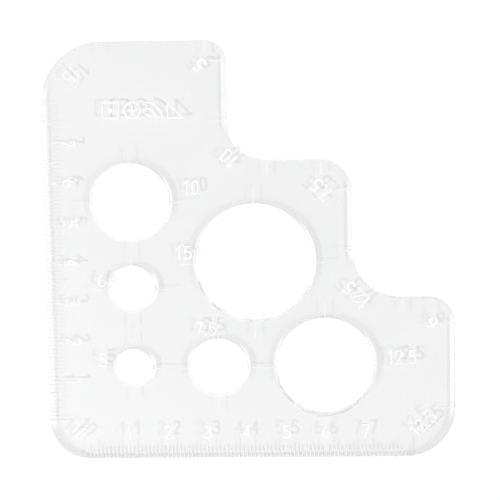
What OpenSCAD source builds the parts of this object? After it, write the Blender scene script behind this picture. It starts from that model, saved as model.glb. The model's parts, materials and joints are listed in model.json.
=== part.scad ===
// Circle template: one clear acrylic sheet with a stepped outline, six round
// guide holes, eight guide corners and two millimetre scales. Every mark is a
// shallow engraved pocket that is filled flush with white paint, and each group
// of fills is a node of its own.
//
// The shapes are drawn from the sheet's lower left corner. placed() then moves
// them, so that the origin is at the middle of the underside's bounding box,
// with X along the lower scale, Y along the side scale and Z up.

/* [Sheet] */
// Length of each scale, in centimetres
scale_cm = 8; // [8:1:9]
// Thickness of the acrylic
sheet_t = 5; // [3:0.5:8]
// Width of the tall step, at the left
tall_w = 46; // [45:0.5:47]
// Width up to the end of the middle step
middle_w = 77; // [76:0.5:78]
// Height of the middle step
middle_h = 75; // [73:0.5:76]
// Height of the low step, at the right
low_h = 40; // [39:0.5:41]

/* [Corner radii] */
// Lower left corner, where both scales start
lower_left_r = 10; // [9:0.5:10]
// Upper left corner, where the side scale ends
upper_left_r = 15; // [14:0.5:16]
// Right corner of the tall step
tall_r = 5; // [3:0.5:6]
// Inner corner between the tall step and the middle step
upper_inner_r = 10; // [8:0.5:12]
// Right corner of the middle step
middle_r = 7.5; // [6:0.5:9]
// Inner corner between the middle step and the low step
lower_inner_r = 12.5; // [10:0.5:13]
// Right corner of the low step
low_r = 6; // [4:0.5:8]
// Lower right corner, where the lower scale ends
lower_right_r = 12.5; // [12:0.5:14]

/* [Circles] */
// Radius of the circle in the middle of the sheet
centre_circle_r = 15; // [13:0.5:15]
// Radius of the circle at the right end of the lower row
right_circle_r = 12.5; // [10:0.5:12.5]
// Radius of the circle at the top of the left column
upper_circle_r = 10; // [8:0.5:10]
// Radius of the circle in the middle of the lower row
row_circle_r = 7.5; // [6:0.5:8]
// Radius of the circle in the middle of the left column
column_circle_r = 6; // [5:0.5:6.5]
// Radius of the circle where the row and the column meet
lower_circle_r = 5; // [4:0.5:5.5]
// Distance of the left column of circles from the left edge
column_x = 21.5; // [21:0.5:23]
// Distance of the lower row of circles from the lower edge
row_y = 23; // [22.5:0.5:24]

/* [Marks] */
// Depth of the engraved pockets and of the paint in them
paint_depth = 0.3; // [0.1:0.05:0.6]
// Width of a tick
tick_w = 0.15; // [0.1:0.05:0.35]
// Length of a one-millimetre tick
short_tick = 2; // [1.5:0.25:2.25]
// Length of a five-millimetre tick
middle_tick = 3; // [2.5:0.25:3.25]
// Length of a centimetre tick, a corner mark and a centre mark
long_tick = 4; // [3.5:0.25:4.25]
// Height of the numerals
numeral_h = 3.6; // [3:0.1:3.8]
// Width of the line that draws the numerals
pen_w = 0.4; // [0.3:0.05:0.5]
// Distance of the scale numerals' middle from the edge
numeral_in = 6.6; // [6.4:0.1:7]

/* [Hidden] */

$fn = 96;
scale_mm = scale_cm * 10;
sheet_w = lower_left_r + scale_mm + lower_right_r;
sheet_h = lower_left_r + scale_mm + upper_left_r;

// How far a cutter runs past the face that it cuts through
over = 1;
// Two centres this close to one line are in line
in_line = 0.01;
// Clear space between a centre mark and the scale numerals
mark_gap = 0.4;
numeral_zone = numeral_in + numeral_h / 2 + mark_gap;

// Each circle: its centre, its radius and its numeral's place from the centre
CIRCLES = [
    [[52.5, 49.5], centre_circle_r, [-17.8, 2.8]],
    [[70, row_y], right_circle_r, [19, 2.4]],
    [[column_x, 65], upper_circle_r, [15.4, 3.6]],
    [[43, row_y], row_circle_r, [-3, 10.1]],
    [[column_x, 43.25], column_circle_r, [-7.4, 2.4]],
    [[column_x, row_y], lower_circle_r, [-7.7, 2.3]],
];
function centre_of(i) = CIRCLES[i][0];
function radius_of(i) = CIRCLES[i][1];
function numeral_place(i) = CIRCLES[i][2];
circle_count = len(CIRCLES);

// Each corner: its point, its radius, the turn that points its first quadrant
// at the arc's centre, whether it is an inner corner, and how far its numeral
// stands from the arc
CORNERS = [
    [[0, 0], lower_left_r, 0, false, 6],
    [[0, sheet_h], upper_left_r, 270, false, 5],
    [[tall_w, sheet_h], tall_r, 180, false, 6.6],
    [[tall_w, middle_h], upper_inner_r, 0, true, 3.2],
    [[middle_w, middle_h], middle_r, 180, false, 7.4],
    [[middle_w, low_h], lower_inner_r, 0, true, 3.6],
    [[sheet_w, low_h], low_r, 180, false, 6],
    [[sheet_w, 0], lower_right_r, 90, false, 6.6],
];
function corner_point(i) = CORNERS[i][0];
function corner_r(i) = CORNERS[i][1];
function corner_turn(i) = CORNERS[i][2];
function is_inner(i) = CORNERS[i][3];
function numeral_gap(i) = CORNERS[i][4];
corner_count = len(CORNERS);

// ---- Outline ----

// What lies between a square corner at the origin and a quarter circle in it.
// The lip runs past the corner's two sides, for a clean cut.
module corner_rest(r, lip) {
    difference() {
        translate([-lip, -lip]) square(r + lip);
        translate([r, r]) circle(r);
    }
}

module at_corner(i) {
    translate(corner_point(i)) rotate(corner_turn(i)) children();
}

module outline() {
    difference() {
        union() {
            square([tall_w, sheet_h]);
            square([middle_w, middle_h]);
            square([sheet_w, low_h]);
            for (i = [0:corner_count - 1])
                if (is_inner(i)) at_corner(i) corner_rest(corner_r(i), over);
        }
        for (i = [0:corner_count - 1])
            if (!is_inner(i)) at_corner(i) corner_rest(corner_r(i), over);
    }
}

// The sheet before it is engraved
module blank() {
    difference() {
        linear_extrude(sheet_t) outline();
        for (i = [0:circle_count - 1])
            translate([centre_of(i).x, centre_of(i).y, -over])
                cylinder(h = sheet_t + 2 * over, r = radius_of(i));
    }
}

// ---- Numerals ----

// Numerals are drawn one unit high between the middles of their lines
unit = numeral_h - pen_w;
pen = pen_w / unit;
half_w = 0.22;
numeral_step = 0.68;
point_step = 0.34;
// A wedge's points lie this many radii out, so that its chords clear the ring
wedge_reach = 2;

module bar(a, b) {
    reach = norm(b - a) + pen;
    translate((a + b) / 2)
        rotate(atan2(b.y - a.y, b.x - a.x))
            square([reach, pen], center = true);
}

module ring(middle, r) {
    translate(middle) difference() {
        circle(r + pen / 2);
        circle(r - pen / 2);
    }
}

// Part of a ring, from one angle round to a larger one
module bow(middle, r, from, to) {
    turn = (to - from) / 4;
    intersection() {
        ring(middle, r);
        translate(middle)
            polygon([
                [0, 0],
                for (k = [0:4])
                    wedge_reach * r * [cos(from + k * turn), sin(from + k * turn)]
            ]);
    }
}

module numeral(c) {
    if (c == "0") {
        bow([0, 1 - half_w], half_w, 0, 180);
        bow([0, half_w], half_w, 180, 360);
        for (side = [-half_w, half_w])
            translate([side, 0.5]) square([pen, 1 - 2 * half_w], center = true);
    }
    if (c == "1") {
        bar([0.06, 0], [0.06, 1]);
        bar([-0.16, 0.8], [0.06, 1]);
    }
    if (c == "2") {
        bow([0, 1 - half_w], half_w, -30, 175);
        bar([-half_w, 0], [0.18, 0.66]);
        bar([-half_w, 0], [half_w, 0]);
    }
    if (c == "3") {
        bow([0, 0.77], 0.23, -90, 160);
        bow([0, 0.27], 0.27, -160, 90);
    }
    if (c == "4") {
        bar([0.1, 0], [0.1, 1]);
        bar([0.1, 1], [-0.26, 0.3]);
        bar([-0.26, 0.3], [0.26, 0.3]);
    }
    if (c == "5") {
        bar([-0.17, 1], [half_w, 1]);
        bar([-0.17, 1], [-0.21, 0.53]);
        bow([-0.02, 0.3], 0.3, -150, 130);
    }
    if (c == "6") {
        ring([0, 0.26], 0.26);
        bow([0.3, 0.4], 0.57, 112, 190);
    }
    if (c == "7") {
        bar([-half_w, 1], [half_w, 1]);
        bar([half_w, 1], [-0.06, 0]);
    }
    if (c == "8") {
        ring([0, 0.77], 0.23);
        ring([0, 0.27], 0.27);
    }
    if (c == "9") {
        translate([0, 1]) rotate(180) numeral("6");
    }
    if (c == ".") {
        square([1.5 * pen, 1.5 * pen], center = true);
    }
}

function step_of(c) = c == "." ? point_step : numeral_step;
// Width of the first n characters of a label
function run(label, n) = n == 0 ? 0 : run(label, n - 1) + step_of(label[n - 1]);

// A number, centred on the origin, with its top towards +Y
module label(value) {
    name = str(value);
    scale(unit)
        for (i = [0:len(name) - 1])
            translate([run(name, i) + step_of(name[i]) / 2 - run(name, len(name)) / 2, -0.5])
                numeral(name[i]);
}

// ---- Marks, as flat shapes that run past the sheet's edge ----

function tick_length(k) =
    k % 10 == 0 ? long_tick :
    k % 5 == 0 ? middle_tick :
    short_tick;

// A tick on the lower edge, which runs up from it
module tick(length) {
    translate([-tick_w / 2, -over]) square([tick_w, length + over]);
}

// The corner marks at both ends are the scale's first and last tick
module scale_ticks() {
    for (k = [1:scale_mm - 1])
        translate([lower_left_r + k, 0]) tick(tick_length(k));
}

module scale_numerals() {
    for (k = [1:scale_cm - 1])
        translate([lower_left_r + k * 10, numeral_in]) label(k);
}

// The side scale is the lower scale, mirrored about the corner's diagonal
module side_scale_tick_shapes() {
    mirror([1, -1, 0]) scale_ticks();
}

module side_scale_numeral_shapes() {
    for (k = [1:scale_cm - 1])
        translate([numeral_in, lower_left_r + k * 10]) rotate(-90) label(k);
}

// Length of circle i's centre mark towards the unit vector d: it stops half-way
// to a circle in line with it, and short of the scale numerals
function half_gap(i, j, d) =
    let (v = centre_of(j) - centre_of(i))
    i != j && v * d > 0 && abs(cross(v, d)) < in_line
        ? (v * d - radius_of(i) - radius_of(j)) / 2
        : long_tick;
function scale_room(i, d) =
    d.x + d.y > 0 ? long_tick : -d * centre_of(i) - radius_of(i) - numeral_zone;
function centre_mark_length(i, d) =
    min([long_tick, scale_room(i, d), for (j = [0:circle_count - 1]) half_gap(i, j, d)]);

module circle_mark_shapes(i) {
    translate(centre_of(i)) {
        for (quarter = [0:3]) {
            turn = quarter * 90;
            d = [round(cos(turn)), round(sin(turn))];
            rotate(turn)
                translate([radius_of(i) - over, -tick_w / 2])
                    square([centre_mark_length(i, d) + over, tick_w]);
        }
        translate(numeral_place(i)) label(radius_of(i));
    }
}

// The corner's two marks stand where its arc meets the straight edges, on the
// sheet's side of them. Its numeral stands upright on the arc.
module corner_mark_shapes(i) {
    r = corner_r(i);
    side = is_inner(i) ? -1 : 1;
    numeral_at = r - (r - side * numeral_gap(i)) / sqrt(2);
    at_corner(i) {
        translate([r, 0]) scale([1, side]) tick(long_tick);
        translate([0, r]) scale([side, 1]) rotate(-90) tick(long_tick);
        translate([numeral_at, numeral_at]) rotate(side * 90 - 135) label(r);
    }
}

// ---- Pictograms ----

// Four plain drawing shapes in a row: a square, a circle with its centre lines,
// three quarter arcs and a set square
picture = 4.4;
picture_step = 5.4;
picture_pen = 0.4;
pictures_at = [25.5, 88];

module frame(inside) {
    difference() {
        square(picture, center = true);
        square(inside, center = true);
    }
}

module square_picture() {
    frame(picture - 2 * picture_pen);
    square(picture / 4, center = true);
}

module circle_picture() {
    difference() {
        circle(d = picture);
        circle(d = picture - 2 * picture_pen);
    }
    square([picture / 2, picture_pen], center = true);
    square([picture_pen, picture / 2], center = true);
}

module arcs_picture() {
    translate([-picture / 2, -picture / 2])
        intersection() {
            square(picture);
            for (r = [picture:-picture / 3:picture / 4])
                difference() {
                    circle(r);
                    circle(r - picture_pen);
                }
        }
}

module triangle_picture() {
    leg = picture;
    inset = picture_pen;
    // A corner's two sides meet here when both are one line's width further in
    tip = leg - inset * (1 + sqrt(2));
    translate([-leg / 2, -leg / 2])
        difference() {
            polygon([[0, 0], [leg, 0], [0, leg]]);
            polygon([[inset, inset], [tip, inset], [inset, tip]]);
        }
}

module pictogram_shapes() {
    translate(pictures_at) {
        translate([-1.5 * picture_step, 0]) square_picture();
        translate([-0.5 * picture_step, 0]) circle_picture();
        translate([0.5 * picture_step, 0]) arcs_picture();
        translate([1.5 * picture_step, 0]) triangle_picture();
    }
}

// ---- Solids ----

module placed() {
    translate([-sheet_w / 2, -sheet_h / 2, 0]) children();
}

module pocket() {
    translate([0, 0, sheet_t - paint_depth]) linear_extrude(paint_depth + over) children();
}

// Paint that fills a pocket flush with the top and with the sheet's edge
module paint() {
    color("white") placed()
        intersection() {
            translate([0, 0, sheet_t - paint_depth]) linear_extrude(paint_depth) children();
            blank();
        }
}

module clear_sheet() {
    color([0.85, 0.92, 0.94, 0.6]) placed()
        difference() {
            blank();
            pocket() scale_ticks();
            pocket() side_scale_tick_shapes();
            pocket() scale_numerals();
            pocket() side_scale_numeral_shapes();
            for (i = [0:circle_count - 1]) pocket() circle_mark_shapes(i);
            for (i = [0:corner_count - 1]) pocket() corner_mark_shapes(i);
            pocket() pictogram_shapes();
        }
}

module lower_scale_ticks() { paint() scale_ticks(); }
module side_scale_ticks() { paint() side_scale_tick_shapes(); }
module lower_scale_numerals() { paint() scale_numerals(); }
module side_scale_numerals() { paint() side_scale_numeral_shapes(); }
module centre_circle_marks() { paint() circle_mark_shapes(0); }
module right_circle_marks() { paint() circle_mark_shapes(1); }
module upper_circle_marks() { paint() circle_mark_shapes(2); }
module row_circle_marks() { paint() circle_mark_shapes(3); }
module column_circle_marks() { paint() circle_mark_shapes(4); }
module lower_circle_marks() { paint() circle_mark_shapes(5); }
module lower_left_corner_marks() { paint() corner_mark_shapes(0); }
module upper_left_corner_marks() { paint() corner_mark_shapes(1); }
module tall_corner_marks() { paint() corner_mark_shapes(2); }
module upper_inner_corner_marks() { paint() corner_mark_shapes(3); }
module middle_corner_marks() { paint() corner_mark_shapes(4); }
module lower_inner_corner_marks() { paint() corner_mark_shapes(5); }
module low_corner_marks() { paint() corner_mark_shapes(6); }
module lower_right_corner_marks() { paint() corner_mark_shapes(7); }
module plain_pictograms() { paint() pictogram_shapes(); }

clear_sheet();
lower_scale_ticks();
side_scale_ticks();
lower_scale_numerals();
side_scale_numerals();
centre_circle_marks();
right_circle_marks();
upper_circle_marks();
row_circle_marks();
column_circle_marks();
lower_circle_marks();
lower_left_corner_marks();
upper_left_corner_marks();
tall_corner_marks();
upper_inner_corner_marks();
middle_corner_marks();
lower_inner_corner_marks();
low_corner_marks();
lower_right_corner_marks();
plain_pictograms();
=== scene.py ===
import json
import math

import bmesh
import bpy
from mathutils import Matrix, Vector


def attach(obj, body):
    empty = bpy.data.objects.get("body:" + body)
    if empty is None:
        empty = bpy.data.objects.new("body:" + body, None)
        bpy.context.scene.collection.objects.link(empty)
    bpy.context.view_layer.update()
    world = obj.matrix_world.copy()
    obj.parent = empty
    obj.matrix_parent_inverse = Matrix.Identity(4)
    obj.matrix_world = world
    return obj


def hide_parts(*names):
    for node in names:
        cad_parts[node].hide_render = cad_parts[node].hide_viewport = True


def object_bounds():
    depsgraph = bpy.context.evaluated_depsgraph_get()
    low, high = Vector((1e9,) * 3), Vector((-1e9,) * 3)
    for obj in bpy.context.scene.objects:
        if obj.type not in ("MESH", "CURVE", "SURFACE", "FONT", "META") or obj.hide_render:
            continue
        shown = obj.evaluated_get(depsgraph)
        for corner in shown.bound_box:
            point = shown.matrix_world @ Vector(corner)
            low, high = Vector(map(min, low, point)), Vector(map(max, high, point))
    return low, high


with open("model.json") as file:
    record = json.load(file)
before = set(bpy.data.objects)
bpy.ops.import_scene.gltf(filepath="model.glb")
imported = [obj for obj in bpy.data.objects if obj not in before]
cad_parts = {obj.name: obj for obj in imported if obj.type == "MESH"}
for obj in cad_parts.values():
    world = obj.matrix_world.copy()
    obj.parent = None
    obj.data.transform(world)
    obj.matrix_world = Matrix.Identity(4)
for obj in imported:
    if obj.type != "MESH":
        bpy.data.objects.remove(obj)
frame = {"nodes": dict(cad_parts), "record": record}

# The circle template lies on a white floor. Each CAD node is copied into a piece
# of its own that stands for it: the sheet with its rims eased, the paint with its
# face sunk a little, as wiped paint dries. Lengths are in metres.

MM = 0.001
SHEET = "clear_sheet"

CAD_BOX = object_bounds()
UNDERSIDE = CAD_BOX[0].z
TOP = CAD_BOX[1].z
CENTRE = (CAD_BOX[0] + CAD_BOX[1]) / 2

scene = bpy.context.scene

# ---- Mesh work ----

SAME_PLACE = 1e-7
FLAT_ENOUGH = math.radians(0.5)
SHARP = math.radians(35)
ON_PLANE = 1e-5
UPRIGHT = 0.5
# How far the sheet's rims are rounded off, and in how many steps
EASE = 0.12 * MM
EASE_STEPS = 3
# The paint's rim inside its pocket, and how far the paint has sunk there
SINK_RIM = 0.03 * MM
SINK = 0.03 * MM


def solid_of(node):
    """The CAD node's mesh as a closed bmesh with flat faces whole."""
    bm = bmesh.new()
    bm.from_mesh(frame["nodes"][node].data)
    bmesh.ops.remove_doubles(bm, verts=bm.verts, dist=SAME_PLACE)
    bmesh.ops.dissolve_limit(
        bm,
        angle_limit=FLAT_ENOUGH,
        verts=bm.verts,
        edges=bm.edges,
        delimit={"NORMAL"},
    )
    return bm


def is_wall(face):
    return abs(face.normal.z) < UPRIGHT


def at_height(item, z):
    return all(abs(v.co.z - z) < ON_PLANE for v in item.verts)


def rim_edges(bm):
    """The edges where an outer or hole wall meets the top or the underside."""
    return [
        e
        for e in bm.edges
        if (at_height(e, TOP) or at_height(e, UNDERSIDE))
        and sum(is_wall(f) for f in e.link_faces) == 1
        and any(is_wall(f) and is_cut(f) for f in e.link_faces)
    ]


def is_cut(wall):
    """True for a wall that the laser cut right through the sheet, and not for a pocket's wall."""
    return any(
        abs(v.co.z - UNDERSIDE) < ON_PLANE or below_pocket(v) for v in wall.verts
    ) and max(v.co.z for v in wall.verts) > UNDERSIDE + ON_PLANE


def below_pocket(vert):
    return any(
        abs(other.co.z - UNDERSIDE) < ON_PLANE
        for e in vert.link_edges
        for other in e.verts
    )


def piece_from(bm, name, materials):
    mesh = bpy.data.meshes.new(name)
    bm.to_mesh(mesh)
    bm.free()
    for material in materials:
        mesh.materials.append(material)
    piece = bpy.data.objects.new(name, mesh)
    scene.collection.objects.link(piece)
    mesh.shade_smooth()
    mesh.set_sharp_from_angle(angle=SHARP)
    weighted = piece.modifiers.new("flat faces stay flat", "WEIGHTED_NORMAL")
    weighted.keep_sharp = True
    return piece


def stands_for(piece, node):
    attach(piece, "root")
    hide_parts(node)


# ---- Node helpers ----


def new_material(name):
    material = bpy.data.materials.new(name)
    material.use_nodes = True
    return material, material.node_tree, material.node_tree.nodes["Principled BSDF"]


def add(tree, kind, **settings):
    node = tree.nodes.new(kind)
    for name, value in settings.items():
        setattr(node, name, value)
    return node


def feed(tree, socket, value):
    if isinstance(value, bpy.types.NodeSocket):
        tree.links.new(value, socket)
    else:
        socket.default_value = value


def math_node(tree, operation, a, b=0.0):
    node = add(tree, "ShaderNodeMath", operation=operation)
    feed(tree, node.inputs[0], a)
    feed(tree, node.inputs[1], b)
    return node.outputs[0]


def ramp(tree, value, low, high, to_low, to_high):
    """value from low..high, eased into to_low..to_high."""
    node = add(tree, "ShaderNodeMapRange", interpolation_type="SMOOTHSTEP")
    for socket, v in zip(node.inputs, (value, low, high, to_low, to_high)):
        feed(tree, socket, v)
    return node.outputs[0]


def millimetres(tree, turn=0.0, stretch=(1, 1, 1)):
    """Object coordinates in millimetres, turned about Z and then stretched."""
    place = add(tree, "ShaderNodeTexCoord").outputs["Object"]
    mapping = add(tree, "ShaderNodeMapping", vector_type="POINT")
    mapping.inputs["Rotation"].default_value = (0, 0, turn)
    mapping.inputs["Scale"].default_value = [s / MM for s in stretch]
    tree.links.new(place, mapping.inputs["Vector"])
    return mapping.outputs["Vector"]


def noise(tree, vector, size_mm, detail=2.0, rough=0.5):
    node = add(tree, "ShaderNodeTexNoise")
    tree.links.new(vector, node.inputs["Vector"])
    node.inputs["Scale"].default_value = 1 / size_mm
    node.inputs["Detail"].default_value = detail
    node.inputs["Roughness"].default_value = rough
    return node.outputs["Fac"]


def tint(tree, factor, one, other):
    """A colour between one and the other. A Mix node has its colours in sockets 6 and 7."""
    node = add(tree, "ShaderNodeMix", data_type="RGBA")
    feed(tree, node.inputs["Factor"], factor)
    node.inputs[6].default_value = (*one, 1)
    node.inputs[7].default_value = (*other, 1)
    return node.outputs[2]


def bump(tree, height, depth_mm):
    node = add(tree, "ShaderNodeBump")
    node.inputs["Strength"].default_value = 1.0
    node.inputs["Distance"].default_value = depth_mm * MM
    tree.links.new(height, node.inputs["Height"])
    return node.outputs["Normal"]


# ---- Materials ----

ACRYLIC_IOR = 1.49
# The small holes' walls get a lower index than acrylic's, which keeps them pale
PALE_IOR = 1.25
# The faces' grey is painted shade. It darkens the floor seen through the sheet in place of the
# shadow that the sheet would cast beneath it, since the overhead lamp casts none. Between low and
# high the grey follows the smudges, a tone that differs at random.
FACE_SHADE_AND_SMUDGE_LOW = (0.935, 0.94, 0.94)
FACE_SHADE_AND_SMUDGE_HIGH = (0.955, 0.957, 0.957)
CUT_TINT_LOW = (0.93, 0.945, 0.95)
CUT_TINT_HIGH = (0.97, 0.975, 0.975)
# The share of a lamp's light that a face lets through, and a wall on the way in
FACE_PASSES = 0.9
ENTERING_PASSES = 0.9
# The share that passes on the way out by a hole's, a left or any other outer wall
BORE_PASSES = 0.5
LEFT_PASSES = 0.45
EDGE_PASSES = 0.25
# A side wall passes this much less than that, and at its foot more than reaches it:
# a stand-in for the bright bands beside the walls, and not how acrylic behaves
SIDE_LOSS = 0.25
FOOT_PASSES = 1.7
# Across this height in millimetres, the foot of a wall ends
RIGHT_FOOT_TOP = (2.6, 3.2)
LEFT_FOOT_TOP = (0.6, 3.4)
BORE_FOOT_TOP = (0.9, 1.5)
# Across this range of its normal's Y, a wall turns from a side wall to any other
EDGE_SIDEWAYS = (0.1, 0.35)
BORE_SIDEWAYS = (0.4, 0.75)
# The same, from a back wall, which lets light through, to a side wall. Seen from
# inside the acrylic, a wall's normal points inwards: to the front for a back wall.
FROM_BACK = (-0.5, -0.05)


SCRATCH_TURNS = (0.4, 1.5, 2.6)
SCRATCH_STRETCH = (0.12, 3.0, 1.0)
SCRATCH_PEAK = (0.68, 0.74)
SCRATCH_ROUGH = 0.06
SMUDGE_SIZE = 9.0
SMUDGE_PEAK = (0.45, 0.7)
SMUDGE_ROUGH = 0.02


def scratches(tree):
    """Hairline marks of use: long thin noise in three directions, kept where it peaks."""
    total = 0.0
    for turn in SCRATCH_TURNS:
        vector = millimetres(tree, turn, SCRATCH_STRETCH)
        peak = ramp(tree, noise(tree, vector, 1.0, 1.0), *SCRATCH_PEAK, 0.0, 1.0)
        total = math_node(tree, "ADD", total, peak)
    return total


def lit_through(material, passes):
    """Lets lamp light straight through the glass, as much of it as passes says.
    The camera, and what it sees mirrored or bent, still meets the glass itself."""
    tree = material.node_tree
    glass = tree.nodes["Principled BSDF"].outputs[0]
    clear = add(tree, "ShaderNodeBsdfTransparent")
    feed(tree, clear.inputs["Color"], passes)
    path = add(tree, "ShaderNodeLightPath")
    for ray in ("Is Shadow Ray", "Is Diffuse Ray"):
        mix = add(tree, "ShaderNodeMixShader")
        tree.links.new(path.outputs[ray], mix.inputs[0])
        tree.links.new(glass, mix.inputs[1])
        tree.links.new(clear.outputs[0], mix.inputs[2])
        glass = mix.outputs[0]
    tree.links.new(glass, tree.nodes["Material Output"].inputs["Surface"])


def clear_acrylic():
    material, tree, shader = new_material("acrylic_faces")
    smudge = noise(tree, millimetres(tree), SMUDGE_SIZE, 4.0)
    # Painted shade: a grey tint that stands for the sheet's shadow on the floor, varied a little
    # by the smudges
    colour = tint(tree, smudge, FACE_SHADE_AND_SMUDGE_LOW, FACE_SHADE_AND_SMUDGE_HIGH)
    tree.links.new(colour, shader.inputs["Base Color"])
    worn = math_node(tree, "MULTIPLY", scratches(tree), SCRATCH_ROUGH)
    film = ramp(tree, smudge, *SMUDGE_PEAK, 0.0, SMUDGE_ROUGH)
    tree.links.new(math_node(tree, "ADD", worn, film), shader.inputs["Roughness"])
    shader.inputs["Transmission Weight"].default_value = 1.0
    shader.inputs["IOR"].default_value = ACRYLIC_IOR
    lit_through(material, (FACE_PASSES, FACE_PASSES, FACE_PASSES, 1))
    return material


def wall_passes(tree, least, sideways, foot_top):
    """How much of a lamp's light passes a wall, on its way in or on its way out."""
    geometry = add(tree, "ShaderNodeNewGeometry")
    normal = add(tree, "ShaderNodeSeparateXYZ")
    tree.links.new(geometry.outputs["True Normal"], normal.inputs[0])
    place = add(tree, "ShaderNodeSeparateXYZ")
    tree.links.new(millimetres(tree), place.inputs[0])
    turned = math_node(tree, "ABSOLUTE", normal.outputs["Y"])
    at_side = ramp(tree, turned, *sideways, 1.0, 0.0)
    at_foot = ramp(tree, place.outputs["Z"], *foot_top, FOOT_PASSES - least, -SIDE_LOSS)
    gathered = math_node(tree, "MULTIPLY", at_side, at_foot)
    leaving = math_node(
        tree,
        "ADD",
        gathered,
        ramp(tree, normal.outputs["Y"], *FROM_BACK, ENTERING_PASSES, least),
    )
    passes = add(tree, "ShaderNodeMix", data_type="FLOAT")
    tree.links.new(geometry.outputs["Backfacing"], passes.inputs[0])
    passes.inputs[2].default_value = ENTERING_PASSES
    tree.links.new(leaving, passes.inputs[3])
    return passes.outputs[0]


# A cut wall's fine lines and broader waves, in millimetres, both drawn out upwards
LINE_SIZE = 0.35
LINE_STRETCH = (1.0, 1.0, 0.06)
WAVE_SIZE = 2.2
WAVE_STRETCH = (1.0, 1.0, 0.3)
CUT_RELIEF = 0.06
CUT_ROUGH = (0.08, 0.2)
# Noise is spread from this range to the range that a material needs
SPREAD = (0.3, 0.7)


def cut_acrylic(name, ior, *passing):
    """The laser's cut: glossy, with fine upright striations."""
    material, tree, shader = new_material(name)
    lines = noise(tree, millimetres(tree, 0.0, LINE_STRETCH), LINE_SIZE, 3.0)
    waves = noise(tree, millimetres(tree, 0.0, WAVE_STRETCH), WAVE_SIZE, 1.0)
    colour = tint(tree, waves, CUT_TINT_LOW, CUT_TINT_HIGH)
    tree.links.new(colour, shader.inputs["Base Color"])
    height = math_node(tree, "ADD", lines, math_node(tree, "MULTIPLY", waves, 2.0))
    tree.links.new(bump(tree, height, CUT_RELIEF), shader.inputs["Normal"])
    tree.links.new(ramp(tree, lines, *SPREAD, *CUT_ROUGH), shader.inputs["Roughness"])
    shader.inputs["Transmission Weight"].default_value = 1.0
    shader.inputs["IOR"].default_value = ior
    lit_through(material, wall_passes(tree, *passing))
    return material


PAINT_TINT_LOW = (0.73, 0.73, 0.725)
PAINT_TINT_HIGH = (0.8, 0.8, 0.795)
GRAIN_SIZE = 0.12
GRAIN_RELIEF = 0.02
PATCH_SIZE = 1.6
PAINT_ROUGH = (0.5, 0.75)
PAINT_IOR = 1.45


def white_paint():
    """Matt paint on the rough floor of an engraved pocket."""
    material, tree, shader = new_material("mark_paint")
    grain = noise(tree, millimetres(tree), GRAIN_SIZE, 3.0, 0.6)
    patches = noise(tree, millimetres(tree), PATCH_SIZE, 3.0)
    cover = ramp(tree, patches, *SPREAD, 0.0, 1.0)
    colour = tint(tree, cover, PAINT_TINT_LOW, PAINT_TINT_HIGH)
    tree.links.new(colour, shader.inputs["Base Color"])
    tree.links.new(ramp(tree, grain, *SPREAD, *PAINT_ROUGH), shader.inputs["Roughness"])
    tree.links.new(bump(tree, grain, GRAIN_RELIEF), shader.inputs["Normal"])
    shader.inputs["IOR"].default_value = PAINT_IOR
    return material


# ---- Pieces ----

BORES = [
    (mount["pos_m"], mount["dims"]["r_mm"])
    for mount in frame["record"]["mounts"]
    if mount["kind"] == "bore"
]
# A hole up to this radius in millimetres counts as small
LARGEST_SMALL = 11
# The sheet's materials, in the order that make_sheet gets them
FACES, EDGE, LEFT_EDGE, SMALL_BORE, LARGE_BORE = range(5)


def bore_radius(face):
    """Radius in millimetres of the hole whose wall this is, or None."""
    middle = face.calc_center_median()
    for at, r in BORES:
        if math.hypot(middle.x - at[0], middle.y - at[1]) < r * MM + EASE:
            return r
    return None


def wall_slot(face):
    """Which of the sheet's materials a cut wall has."""
    r = bore_radius(face)
    if r is None:
        return LEFT_EDGE if face.normal.x < -UPRIGHT else EDGE
    return LARGE_BORE if r > LARGEST_SMALL else SMALL_BORE


def make_sheet(materials):
    bm = solid_of(SHEET)
    for face in bm.faces:
        through = is_wall(face) and is_cut(face)
        face.material_index = wall_slot(face) if through else FACES
    bmesh.ops.bevel(
        bm,
        geom=rim_edges(bm),
        offset=EASE,
        offset_type="OFFSET",
        segments=EASE_STEPS,
        profile=0.5,
        affect="EDGES",
        clamp_overlap=True,
    )
    bm.normal_update()
    stands_for(piece_from(bm, "acrylic_sheet", materials), SHEET)


def make_paint(node, material):
    bm = solid_of(node)
    faces = [f for f in bm.faces if at_height(f, TOP)]
    bmesh.ops.inset_region(
        bm, faces=faces, thickness=SINK_RIM, depth=-SINK, use_even_offset=True
    )
    stands_for(piece_from(bm, node + "_paint", [material]), node)


# ---- Stage, light and camera ----

FLOOR_ALBEDO = 0.82
FLOOR_CLOUD = 0.004
FLOOR_CLOUD_SIZE = 60.0
# The sheet isn't stuck to the floor: a thin film of air is between them
AIR_GAP = 0.05 * MM
FLOOR_SIZE = 3.0

# Each light's share of the light on the open floor, where 1 shows as white
OVERHEAD_SHARE = 0.735
LEFT_SHARE = 0.17
RIGHT_SHARE = 0.115
DOME_SHARE = 0.10
# Two soft lamps stand in front at the left and at the right, this far from upright.
# It's the light's angle inside the acrylic, since lamp light isn't bent here.
LAMP_TILT = math.radians(23.2)
LAMP_SIDE = 0.94
LAMP_FRONT = -0.31
LAMP_DISTANCE = 1.2
LAMP_SIZE = 0.10
OVERHEAD_SIZE = 0.6


def from_above(tree, shader):
    """Shows the floor from above only, so that the part's underside can be seen."""
    mix = add(tree, "ShaderNodeMixShader")
    underneath = add(tree, "ShaderNodeNewGeometry").outputs["Backfacing"]
    tree.links.new(underneath, mix.inputs[0])
    tree.links.new(shader.outputs[0], mix.inputs[1])
    tree.links.new(add(tree, "ShaderNodeBsdfTransparent").outputs[0], mix.inputs[2])
    tree.links.new(mix.outputs[0], tree.nodes["Material Output"].inputs["Surface"])


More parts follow.
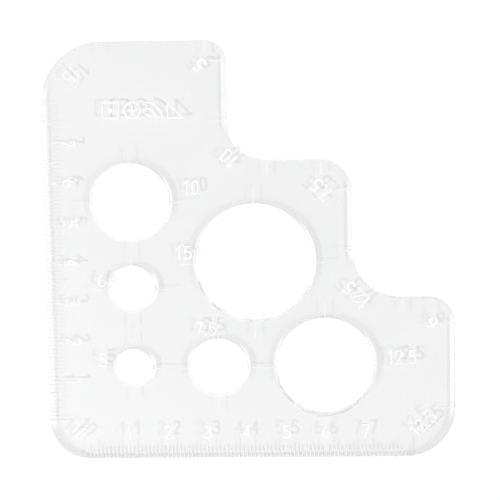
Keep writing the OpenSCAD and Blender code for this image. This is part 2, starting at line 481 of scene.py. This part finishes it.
def make_floor():
    material, tree, shader = new_material("floor")
    cloud = noise(tree, millimetres(tree), FLOOR_CLOUD_SIZE, 2.0)
    low = FLOOR_ALBEDO - FLOOR_CLOUD
    high = FLOOR_ALBEDO + FLOOR_CLOUD
    colour = tint(tree, cloud, (low, low, low), (high, high, high))
    tree.links.new(colour, shader.inputs["Base Color"])
    shader.inputs["Roughness"].default_value = 0.9
    shader.inputs["Specular IOR Level"].default_value = 0.0
    from_above(tree, shader)
    bm = bmesh.new()
    bmesh.ops.create_grid(bm, x_segments=8, y_segments=8, size=FLOOR_SIZE / 2)
    bmesh.ops.translate(bm, verts=bm.verts, vec=(0, 0, UNDERSIDE - AIR_GAP))
    mesh = bpy.data.meshes.new("floor")
    bm.to_mesh(mesh)
    bm.free()
    mesh.materials.append(material)
    floor = bpy.data.objects.new("floor", mesh)
    scene.collection.objects.link(floor)


def make_lamp(name, direction, size, share):
    """A round lamp that gives the open floor this share of white."""
    lamp = bpy.data.lights.new(name, "AREA")
    lamp.shape = "DISK"
    lamp.size = size
    lamp.energy = share * (math.pi * LAMP_DISTANCE) ** 2 / (FLOOR_ALBEDO * direction.z)
    holder = bpy.data.objects.new(name, lamp)
    scene.collection.objects.link(holder)
    holder.location = CENTRE + direction * LAMP_DISTANCE
    holder.rotation_mode = "QUATERNION"
    holder.rotation_quaternion = direction.to_track_quat("Z", "Y")
    holder.visible_glossy = False
    holder.visible_transmission = False
    return lamp


def make_lamps():
    for name, side, share in (("left", -1, LEFT_SHARE), ("right", 1, RIGHT_SHARE)):
        level = Vector((side * LAMP_SIDE, LAMP_FRONT, 0)) * math.sin(LAMP_TILT)
        direction = (level + Vector((0, 0, math.cos(LAMP_TILT)))).normalized()
        make_lamp(name, direction, LAMP_SIZE, share)
    overhead = make_lamp("overhead", Vector((0, 0, 1)), OVERHEAD_SIZE, OVERHEAD_SHARE)
    overhead.use_shadow = False


# What the acrylic mirrors: a light tent, whose ceiling behind the camera is darker
TENT = 0.95
# The tent is open at the foot, and darker there, up to this sine of the height
OPEN_FOOT = 0.35
FOOT_LEVEL = 0.3
CEILING = Vector((0.16, 0.08, 1.0)).normalized()
CEILING_LEVEL = 0.1
CEILING_EDGE = (math.cos(math.radians(28)), math.cos(math.radians(12)))


def make_world():
    world = bpy.data.worlds.new("light_tent")
    scene.world = world
    world.use_nodes = True
    tree = world.node_tree
    background = tree.nodes["Background"]
    direction = add(tree, "ShaderNodeTexCoord").outputs["Generated"]
    to_ceiling = add(tree, "ShaderNodeVectorMath", operation="DOT_PRODUCT")
    tree.links.new(direction, to_ceiling.inputs[0])
    to_ceiling.inputs[1].default_value = CEILING
    ceiling = ramp(tree, to_ceiling.outputs["Value"], *CEILING_EDGE, TENT, CEILING_LEVEL)
    split = add(tree, "ShaderNodeSeparateXYZ")
    tree.links.new(direction, split.inputs[0])
    foot = ramp(tree, split.outputs["Z"], 0.0, OPEN_FOOT, FOOT_LEVEL, 1.0)
    seen = math_node(tree, "MULTIPLY", ceiling, foot)
    path = add(tree, "ShaderNodeLightPath")
    looks = path.outputs["Is Camera Ray"]
    for ray in ("Is Glossy Ray", "Is Transmission Ray"):
        looks = math_node(tree, "MAXIMUM", looks, path.outputs[ray])
    level = add(tree, "ShaderNodeMix", data_type="FLOAT")
    tree.links.new(looks, level.inputs[0])
    level.inputs[2].default_value = DOME_SHARE / FLOOR_ALBEDO
    tree.links.new(seen, level.inputs[3])
    background.inputs["Color"].default_value = (1, 1, 1, 1)
    tree.links.new(level.outputs[0], background.inputs["Strength"])


CAMERA_AT = Vector((16.7, 38.9, 376.8)) * MM
CAMERA_AIM = Vector((0.26, 0.34, 5.0)) * MM
CAMERA_ROLL = math.radians(-0.96)
CAMERA_LENS = 107.8
CAMERA_SENSOR = 36.0


def make_camera():
    data = bpy.data.cameras.new("camera")
    data.lens = CAMERA_LENS
    data.sensor_width = CAMERA_SENSOR
    data.clip_start = 0.01
    camera = bpy.data.objects.new("camera", data)
    scene.collection.objects.link(camera)
    back = (CAMERA_AT - CAMERA_AIM).normalized()
    right = Vector((0, 1, 0)).cross(back).normalized()
    up = back.cross(right)
    axes = Matrix((right, up, back)).transposed()
    camera.matrix_world = Matrix.Translation(CAMERA_AT) @ (
        axes @ Matrix.Rotation(CAMERA_ROLL, 3, "Z")
    ).to_4x4()
    scene.camera = camera


def set_light_paths():
    """Clear acrylic over a lit floor: no ray is blurred or clamped on its way."""
    scene.view_settings.view_transform = "Standard"
    scene.cycles.blur_glossy = 0.0
    scene.cycles.sample_clamp_indirect = 0.0
    scene.cycles.max_bounces = 64
    scene.cycles.transmission_bounces = 64
    scene.cycles.glossy_bounces = 64
    scene.cycles.diffuse_bounces = 8


make_sheet(
    [
        clear_acrylic(),
        cut_acrylic("cut_edge", ACRYLIC_IOR, EDGE_PASSES, EDGE_SIDEWAYS, RIGHT_FOOT_TOP),
        cut_acrylic("cut_left", ACRYLIC_IOR, LEFT_PASSES, EDGE_SIDEWAYS, LEFT_FOOT_TOP),
        cut_acrylic("small_bore", PALE_IOR, BORE_PASSES, BORE_SIDEWAYS, BORE_FOOT_TOP),
        cut_acrylic("large_bore", ACRYLIC_IOR, BORE_PASSES, BORE_SIDEWAYS, BORE_FOOT_TOP),
    ]
)
paint = white_paint()
for node in frame["nodes"]:
    if node != SHEET:
        make_paint(node, paint)
make_floor()
make_lamps()
make_world()
make_camera()
set_light_paths()
